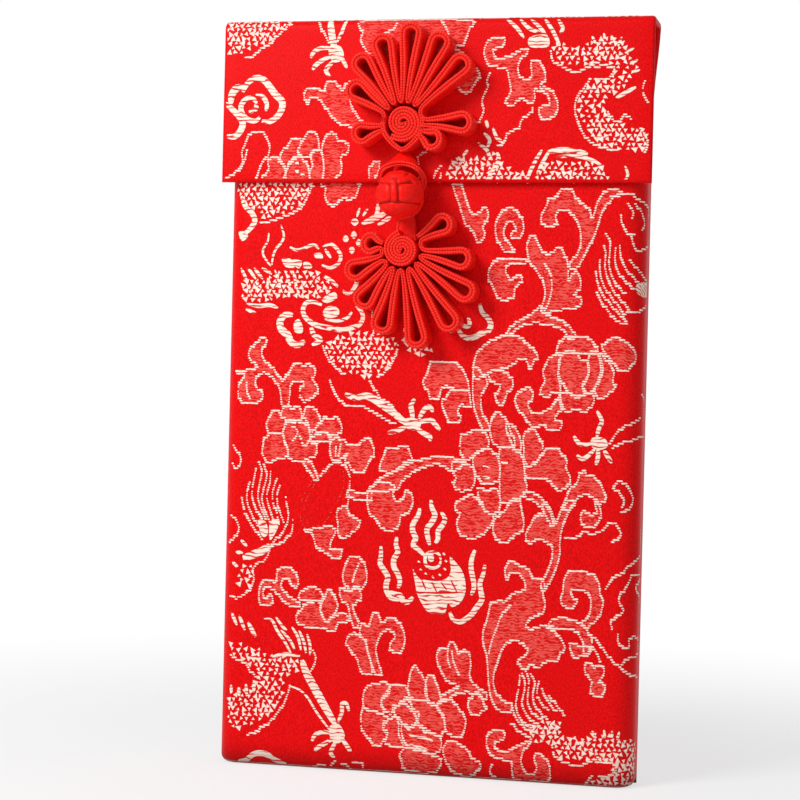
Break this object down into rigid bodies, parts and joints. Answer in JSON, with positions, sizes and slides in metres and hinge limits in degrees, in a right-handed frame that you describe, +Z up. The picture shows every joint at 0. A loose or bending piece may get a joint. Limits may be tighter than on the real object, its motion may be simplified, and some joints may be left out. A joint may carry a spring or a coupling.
{
  "type": "red envelope",
  "caption": "Upright red brocade gift envelope with a fold-over flap, a knotted ball button, a cloth loop and two strip flowers that close it.",
  "frame": {"origin": "middle of the flat bottom that the envelope stands on", "axes": "+Z up along the height, +Y towards the back, +X to the right as seen from the front"},
  "size_m": [0.1028, 0.0247, 0.1774],
  "materials": {
    "brocade": "satin brocade",
    "satin": "satin",
    "thread": "matte",
    "card": "stiff card, matte",
    "lining": "matte"
  },
  "bodies": {
    "pouch": {"back_brocade": "brocade", "back_card": "card", "back_lining": "lining", "front_brocade": "brocade", "front_card": "card", "front_lining": "lining", "bottom_brocade": "brocade", "bottom_card": "card", "left_side_tab": "card", "right_side_tab": "card", "lower_petals": "satin", "lower_coil": "satin", "lower_stitch_1": "thread", "lower_stitch_2": "thread", "lower_stitch_3": "thread"},
    "spine": {"spine_brocade": "brocade", "spine_card": "card", "spine_lining": "lining"},
    "flap": {"flap_brocade": "brocade", "flap_card": "card", "flap_lining": "lining", "upper_petals": "satin", "upper_coil": "satin", "loop_neck": "satin", "upper_stitch_1": "thread", "upper_stitch_2": "thread", "upper_stitch_3": "thread"},
    "loop": {"button_loop": "satin"},
    "knot": {"button_knot": "satin", "button_stem": "satin"}
  },
  "joints": [
    {"name": "spine_fold", "type": "hinge", "parent": "pouch", "child": "spine", "pos_m": [0, 0.0052, 0.1774], "axis": [-1, 0, 0], "range_deg": [0, 90]},
    {"name": "flap_fold", "type": "hinge", "parent": "spine", "child": "flap", "pos_m": [0, -0.0072, 0.1774], "axis": [-1, 0, 0], "range_deg": [0, 90]},
    {"name": "loop_lift", "type": "hinge", "parent": "flap", "child": "loop", "pos_m": [-0.0058, -0.0084, 0.1451], "axis": [-1, 0, 0], "range_deg": [0, 60]},
    {"name": "knot_tilt", "type": "hinge", "parent": "pouch", "child": "knot", "pos_m": [-0.0058, -0.0066, 0.127], "axis": [1, 0, 0], "range_deg": [-5, 6], "stiffness_Nm_per_rad": 0.004}
  ],
  "couplings": [
    {"joint": "flap_fold", "follows": "spine_fold", "ratio": 1}
  ]
}
